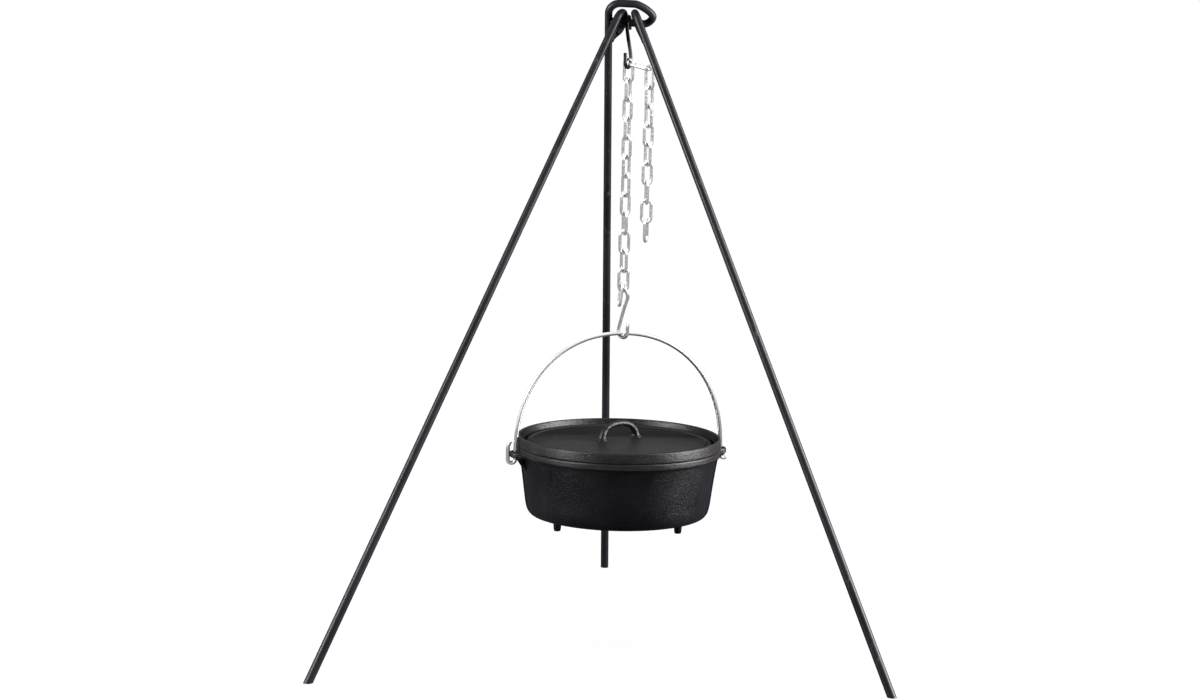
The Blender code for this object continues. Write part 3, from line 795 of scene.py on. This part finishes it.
def link(kinds, number, top, way, across, seed):
    """A long link running from top along way, with a butt weld half way down one side."""
    run = LINK_LENGTH - 2 * LINK_HALF
    first = top + LINK_HALF * way
    second = first + run * way
    points = arc(first, across, -way, LINK_HALF, 0, 180, 22)
    # the top bow is worn a little thinner where it hangs
    widths = [
        1.0 - 0.012 * max(0.0, (point - first).normalized().dot(-way)) for point in points
    ]
    start, end = first - LINK_HALF * across, second - LINK_HALF * across
    for i in range(1, 14):
        part = i / 14
        distance = abs(part - 0.5) * run
        ridge = 0.085 * math.exp(-((distance / 0.0010) ** 2))
        seam = 0.05 * math.exp(-((distance / 0.00028) ** 2))
        points.append(start + (end - start) * part)
        widths.append(1.0 + (ridge - seam))
    points += arc(second, -across, way, LINK_HALF, 0, 180, 22)
    points += straight(second + LINK_HALF * across, first + LINK_HALF * across, 6)[1:]
    widths += [1.0] * (len(points) - len(widths))
    work = tube(points, LINK_WIRE, 18, closed=True, widths=widths, ripple=0.012, seed=seed)
    name, node = (f"{kind}_link_{number:02d}" for kind in kinds)
    piece(name, node, [work], [CHAIN_ZINC], "chain_zinc", angle=60)


def hanging_links(kinds, first_number, top, turns, first_seed, seed_step):
    for i, turn in enumerate(turns):
        across = flat(math.radians(turn))
        link_top = top - i * LINK_PITCH * Z
        link(kinds, first_number + i, link_top, -Z, across, first_seed + i * seed_step)


def main_chain():
    kinds = ("steel", "chain")
    hanging_links(kinds, 1, CHAIN_TOP, CHAIN_TURNS, first_seed=0, seed_step=3.3)
    # a thirteenth link leans from the lowest bow
    top = BOW_MIDDLE - LOOSE_ASIDE * LAST_FACING + LOOSE_RISE * Z
    way = (-math.cos(LOOSE_LEAN) * Z - math.sin(LOOSE_LEAN) * LAST_FACING).normalized()
    across = flat(LOOSE_TURN)
    across = (across - across.dot(way) * way).normalized()
    link(kinds, 13, top, way, across, seed=51.0)


def chain_tail():
    """The spare end: one nearly level link by the top hook, the others hanging from it."""
    kinds = ("spare", "tail")
    facing = flat(CLAMPED_TURN)
    across = flat(CLAMPED_TURN + math.pi / 2)
    way = math.cos(CLAMPED_DROP) * facing - math.sin(CLAMPED_DROP) * Z
    top = Vector((CHAIN_TOP.x, 0.0, CLAMPED_HEIGHT)) + CLAMPED_OFF_CHAIN * facing
    link(kinds, 1, top, way, across, seed=61.0)
    tail_top = top + LINK_LENGTH * way + (2 * LINK_WIRE + 2 * CLEARANCE) * Z
    hanging_links(kinds, 2, tail_top, TAIL_TURNS, first_seed=70, seed_step=2.9)


main_chain()
chain_tail()


# ---------------------------------------------------------------- lower hook
def bottom_hook():
    """An arch through the chain's lowest bow, a slanting shank and a bend for the bail."""
    across = flat(math.radians(CHAIN_TURNS[-1] + 90))
    up = (Z - LOWER_ARCH_LEAN * LAST_FACING).normalized()
    centre = BOW_MIDDLE + LOWER_ARCH_ASIDE * LAST_FACING - LOWER_ARCH * up
    facing = flat(LOWER_TURN)
    low = Vector((LOWER_X, 0.0, LOWER_BOTTOM + LOWER_BEND))
    points = [centre - LOWER_ARCH * across - 0.0045 * up]
    points += arc(centre, -across, up, LOWER_ARCH, 0, 180, 28)
    leave = -0.012 * Z + 0.003 * X
    points += sweep(points[-1], leave, LOWER_MIDDLE, LOWER_SLANT * 0.55, 16)
    points.append(LOWER_MIDDLE)
    points += sweep(LOWER_MIDDLE, LOWER_SLANT, low - LOWER_BEND * facing, -0.020 * Z, 20)
    points += arc(low, -facing, Z, LOWER_BEND, 0, -180, 32)
    tip = low + LOWER_BEND * facing
    points += [tip + 0.0035 * Z, tip + 0.0065 * Z, tip + 0.0006 * facing + 0.0130 * Z]
    wire = tube(points, LOWER_WIRE, 22, chamfer=0.0006, ripple=0.006)
    piece("bottom_hook_wire", "bottom_hook", [wire], [HOOK_ZINC], "hook_zinc")


bottom_hook()

# ---------------------------------------------------------------- bail
EARS = flat(OVEN_TURN)
PIVOT = Vector((0.0, 0.0, EAR_HEIGHT))


def bail():
    """The bail: a flattened half round whose ends curl up outside the ears."""

    def at(along, height):
        return PIVOT + along * EARS + height * Z

    def curl(sign, angle, count):
        centre = at(sign * (BAIL_HALF + BAIL_EYE), -0.0075)
        turn = arc(centre, -sign * EARS, -Z, BAIL_EYE, 0, angle, count)
        return [at(sign * BAIL_HALF, -0.0045)] + turn

    # the left end goes on up past its curl and leans in
    outer = BAIL_HALF + 2 * BAIL_EYE
    left = curl(-1, 180, 24)
    for inset, height in ((0.0, 0.0125), (0.0016, 0.0175), (0.0042, 0.0215)):
        left.append(at(inset - outer, height))
    points = left[::-1]
    count = 160
    for i in range(count + 1):
        angle = math.pi * (1 - i / count)
        along = math.copysign(abs(math.cos(angle)) ** 0.94, math.cos(angle))
        height = (BAIL_TOP - EAR_HEIGHT) * math.sin(angle) ** 0.90
        points.append(at(BAIL_HALF * along, height))
    points = thinned(points + curl(1, 125, 18), 0.0008)
    wire = tube(points, BAIL_WIRE, 24, chamfer=0.0006, ripple=0.004)
    piece("bail_wire", "bail", [wire], [BAIL_ZINC], "bail_zinc")


bail()

# ---------------------------------------------------------------- oven
# turned profiles: radius from the axis, height, rounding of the corner
POT_PROFILE = [
    (0.0, FLOOR_TOP + 0.0005, 0),
    (0.122, FLOOR_TOP + 0.0005, 0.008),
    (0.1335, FLOOR_TOP + 0.0045, 0.006),
    (0.1392, FLOOR_TOP + 0.0130, 0.006),
    (0.1503, RIM_TOP - 0.0080, 0.002),
    (0.1508, RIM_TOP, 0.001),
    (RIM - 0.0002, RIM_TOP, 0.0012),
    (RIM + 0.0005, RIM_TOP - 0.0015, 0.0012),
    (RIM + 0.0003, RIM_TOP - 0.0090, 0.0010),
    (RIM - 0.0030, RIM_TOP - 0.0114, 0.0008),
    (0.1552, RIM_TOP - 0.0150, 0.0040),
    (0.1506, OVEN_BOTTOM + 0.0640, 0.0120),
    (0.1446, OVEN_BOTTOM + 0.0190, 0.0080),
    (0.1421, OVEN_BOTTOM + 0.0088, 0.0050),
    (0.1370, OVEN_BOTTOM + 0.0026, 0.0050),
    (0.1275, OVEN_BOTTOM, 0.0060),
    (0.0, OVEN_BOTTOM, 0),
]
FOOT_PROFILE = [
    (0.0, FOOT_BOTTOM, 0),
    (0.0053, FOOT_BOTTOM, 0.0030),
    (0.0066, OVEN_BOTTOM - 0.004, 0.004),
    (0.0092, OVEN_BOTTOM + 0.0002, 0.001),
    (0.0092, OVEN_BOTTOM + 0.004, 0.0005),
    (0.0, OVEN_BOTTOM + 0.004, 0),
]
LID_PROFILE = [
    (0.0, LID_TOP - 0.0050, 0),
    (0.030, LID_TOP - 0.0051, 0.01),
    (0.060, LID_TOP - 0.0056, 0.02),
    (0.1060, LID_TOP - 0.0072, 0.02),
    (0.1360, LID_TOP - 0.0088, 0.0016),
    (0.1385, LID_TOP - 0.0072, 0.0012),
    (0.1440, LID_TOP - 0.0074, 0.0016),
    (0.1465, LID_TOP - 0.0098, 0.0016),
    (0.1515, LID_TOP - 0.0098, 0.0016),
    (0.1540, LID_TOP - 0.0006, 0.0008),
    (0.1553, LID_TOP, 0.0008),
    (RIM - 0.0012, LID_TOP, 0.0010),
    (RIM, LID_TOP - 0.0014, 0.0010),
    (RIM + 0.0004, LID_BASE + 0.0016, 0.0010),
    (RIM - 0.0006, LID_BASE, 0.0008),
    (0.1500, LID_BASE, 0.001),
    (0.1490, LID_BASE - 0.0040, 0.001),
    (0.1440, LID_BASE - 0.0040, 0.001),
    (0.1420, LID_BASE + 0.0008, 0.001),
    (0.0, LID_BASE + 0.0042, 0),
]
PAD_PROFILE = [
    (0.0, LID_TOP - 0.0080, 0),
    (0.0098, LID_TOP - 0.0080, 0.0010),
    (0.0094, LID_TOP - 0.0042, 0.0030),
    (0.0062, LID_TOP - 0.0008, 0.0030),
    (0.0040, LID_TOP + 0.0040, 0.0010),
    (0.0, LID_TOP + 0.0040, 0),
]
# one half of an ear in plan: distance from the axis, place along the ear, rounding
EAR_HALF = [
    (0.1530, -0.0200, 0.004),
    (0.1600, -0.0192, 0.004),
    (0.1640, -0.0175, 0.004),
    (0.1700, -0.0145, 0.004),
    (0.1734, -0.0090, 0.004),
]
EAR_TIP = (0.1742, 0.0, 0.004)
# the rib under an ear: distance from the axis, height from the ear's middle, rounding
RIB = [
    (0.1490, -0.0010, 0.002),
    (0.1692, -0.0010, 0.002),
    (0.1692, -0.0046, 0.002),
    (0.1600, -0.0110, 0.002),
    (0.1500, -0.0260, 0.002),
    (0.1490, -0.0150, 0.002),
]
RIB_AT = 0.0142


def ear(out):
    """A level ear with a slot for the bail, on two ribs."""
    along = Z.cross(out).normalized()
    mirrored = [(x, -y, radius) for x, y, radius in reversed(EAR_HALF)]
    outline = rounded(EAR_HALF + [EAR_TIP] + mirrored, steps=4)
    hole = []
    for end in (1, -1):
        for k in range(15):
            angle = -end * math.pi / 2 + math.pi * k / 14
            x = EAR_HOLE + EAR_HOLE_WIDTH * math.sin(angle)
            hole.append((x, end * EAR_HOLE_REACH + EAR_HOLE_WIDTH * math.cos(angle)))
    place = Matrix.Translation(PIVOT) @ columns(out, along, Z).to_4x4()
    works = [outline_solid([outline, hole], half_thick=0.0040, bevel=0.0011, matrix=place)]
    upright = columns(out, Z, out.cross(Z)).to_4x4()
    for side in (-1, 1):
        place = Matrix.Translation(PIVOT + along * side * RIB_AT) @ upright
        rib = rounded(RIB, steps=3)
        works.append(outline_solid([rib], half_thick=0.0023, bevel=0.0008, matrix=place))
    return works


def oven_body():
    pot = lathe(rounded(POT_PROFILE), 220)
    # the casting isn't perfectly round: its wall waves by up to about 0.2 mm
    for vert in pot.verts:
        radius = math.hypot(vert.co.x, vert.co.y)
        if radius > 0.1 and vert.co.z < RIM_TOP - 0.012:
            push = 0.00022 * noise.noise(vert.co * 28)
            vert.co.x *= 1 + push / radius
            vert.co.y *= 1 + push / radius
    works = [pot]
    for angle in FOOT_TURNS:
        foot = lathe(rounded(FOOT_PROFILE), 32)
        foot.transform(Matrix.Translation(flat(math.radians(angle)) * FOOT_RING))
        works.append(foot)
    for sign in (-1, 1):
        works += ear(sign * EARS)
    piece("oven_body_casting", "oven_body", works, [BODY_IRON], "body_iron", angle=50)


def oven_lid():
    """The lid with its arched handle on two round pads."""
    works = [lathe(rounded(LID_PROFILE), 220)]
    along = flat(HANDLE_TURN)
    count = 60
    points, widths = [], []
    for i in range(count + 1):
        angle = math.pi * i / count
        cosine = math.cos(angle)
        reach = -HANDLE_HALF * math.copysign(abs(cosine) ** 0.80, cosine)
        z = HANDLE_ROOT + (HANDLE_TOP - HANDLE_ROOT) * math.sin(angle) ** 0.85
        points.append(Vector((0, 0, z)) + reach * along)
        widths.append(1.0 + 0.55 * abs(cosine) ** 8 + 0.02 * math.sin(i * 0.9))
    works.append(tube(points, 0.0044, 24, widths=widths, ripple=0.02, seed=5.0))
    for sign in (-1, 1):
        pad = lathe(rounded(PAD_PROFILE), 36)
        pad.transform(Matrix.Translation(sign * HANDLE_HALF * along))
        works.append(pad)
    piece("oven_lid_casting", "oven_lid", works, [LID_IRON], "lid_iron", angle=50)


oven_body()
oven_lid()


# ---------------------------------------------------------------- stage
def build_floor():
    mesh = bpy.data.meshes.new("floor")
    work = bmesh.new()
    bmesh.ops.create_grid(work, x_segments=1, y_segments=1, size=30.0)
    work.to_mesh(mesh)
    work.free()
    mesh.materials.append(floor_paper())
    floor = bpy.data.objects.new("floor", mesh)
    bpy.context.scene.collection.objects.link(floor)


# name, place, height aimed at on the oven's axis, (width, height), watts, pieces lit (None: all)
# the black pieces take harder side light than the zinc, as if flagged off it
LIGHTS = [
    ("key_left", (-3.10, -1.40, 1.3), 0.45, (0.6, 2.0), 1450, DARK),
    ("key_right", (3.15, -0.45, 1.3), 0.45, (1.5, 2.4), 2500, DARK),
    ("soft_left", (-2.4, -2.0, 2.4), 0.60, (1.2, 2.2), 60, BRIGHT),
    ("soft_right", (2.6, -1.4, 1.8), 0.60, (1.0, 2.2), 44, BRIGHT),
    ("top_soft", (0.0, 0.4, 3.2), 0.3, (2.6, 2.6), 16, None),
]


def build_lights():
    for name, place, aim, spans, power, only in LIGHTS:
        light = bpy.data.lights.new(name, "AREA")
        light.shape = "RECTANGLE"
        light.size, light.size_y = spans
        light.energy = power
        obj = bpy.data.objects.new(name, light)
        obj.location = Vector(place) - MIDDLE
        way = Vector((0, 0, aim)) - Vector(place)
        obj.rotation_euler = way.to_track_quat("-Z", "Y").to_euler()
        bpy.context.scene.collection.objects.link(obj)
        if only:
            obj.light_linking.receiver_collection = only


def build_world():
    """White to the camera, bright in reflections and dimmer as light on the scene."""
    world = bpy.data.worlds.new("studio")
    world.use_nodes = True
    bpy.context.scene.world = world
    tree = world.node_tree
    tree.nodes.clear()

    def background(colour, strength):
        node = tree.nodes.new("ShaderNodeBackground")
        node.inputs[0].default_value = (*colour, 1.0)
        node.inputs[1].default_value = strength
        return node.outputs[0]

    out = tree.nodes.new("ShaderNodeOutputWorld")
    to_camera = background(colour=(1.0, 1.0, 1.0), strength=1.0)
    to_scene = background(colour=(0.97, 0.98, 1.0), strength=0.40)
    path = tree.nodes.new("ShaderNodeLightPath")
    seen = tree.nodes.new("ShaderNodeMixShader")
    to_metal = background(colour=(0.98, 0.99, 1.0), strength=1.0)
    shiny = tree.nodes.new("ShaderNodeMixShader")
    for source, socket in (
        (path.outputs["Is Glossy Ray"], shiny.inputs[0]),
        (to_scene, shiny.inputs[1]),
        (to_metal, shiny.inputs[2]),
        (path.outputs["Is Camera Ray"], seen.inputs[0]),
        (shiny.outputs[0], seen.inputs[1]),
        (to_camera, seen.inputs[2]),
        (seen.outputs[0], out.inputs[0]),
    ):
        tree.links.new(source, socket)


CAMERA_AT = Vector((-0.0329, -4.6150, 1.1577))
CAMERA_DOWN = 8.559  # degrees below level
CAMERA_ROLL = 1.37  # degrees


def build_camera():
    lens = bpy.data.cameras.new("camera")
    lens.lens = 90.0
    lens.sensor_width = 36.0
    camera = bpy.data.objects.new("camera", lens)
    camera.matrix_world = (
        Matrix.Translation(CAMERA_AT - MIDDLE)
        @ Matrix.Rotation(math.radians(90 - CAMERA_DOWN), 4, "X")
        @ Matrix.Rotation(math.radians(CAMERA_ROLL), 4, "Z")
    )
    bpy.context.scene.collection.objects.link(camera)
    bpy.context.scene.camera = camera


build_floor()
build_lights()
build_world()
build_camera()
bpy.context.scene.view_settings.view_transform = "Standard"
